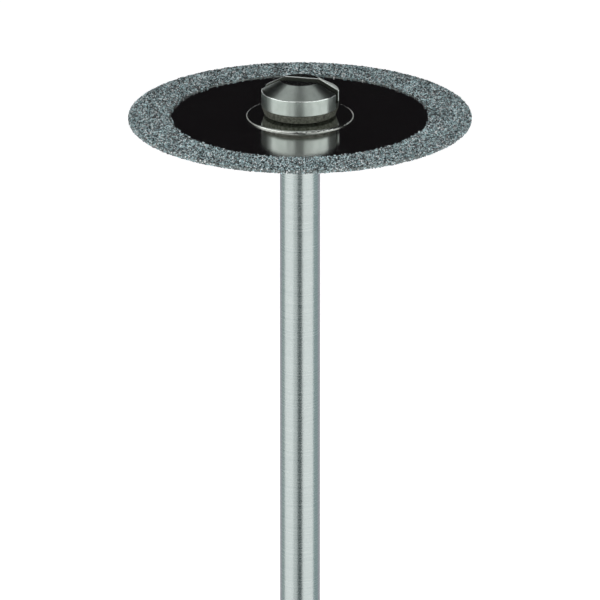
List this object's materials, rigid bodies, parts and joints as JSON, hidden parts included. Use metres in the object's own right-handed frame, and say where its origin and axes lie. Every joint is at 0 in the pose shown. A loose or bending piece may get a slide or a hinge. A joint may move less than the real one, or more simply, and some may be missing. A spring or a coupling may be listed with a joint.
{
  "type": "dental diamond disc",
  "caption": "Thin steel separating disc with a diamond-coated rim, clamped by a slotted screw, washer and ring on a straight handpiece mandrel.",
  "frame": {"origin": "centre of the shank's free end", "axes": "+Z along the shank from its free end up to the disc, +X to the right and +Y away from the viewer in the picture's view"},
  "size_m": [0.02, 0.02, 0.0445],
  "materials": {
    "shank_steel": "centreless-ground stainless steel, fine marks round the shank",
    "blank_steel": "bright rolled sheet steel, near mirror",
    "diamond_grit": "fine diamond grit bonded in nickel plate, matt and sparkling",
    "washer_steel": "bright sheet steel with a rounded edge",
    "ring_steel": "turned steel, dull and lightly stained",
    "screw_steel": "turned steel, fine tool marks round the head"
  },
  "bodies": {
    "root": {"mandrel": "shank_steel", "disc_blank": "blank_steel", "diamond_coat": "diamond_grit", "clamp_washer": "washer_steel", "spacer_ring": "ring_steel", "clamp_screw": "screw_steel"}
  },
  "joints": []
}
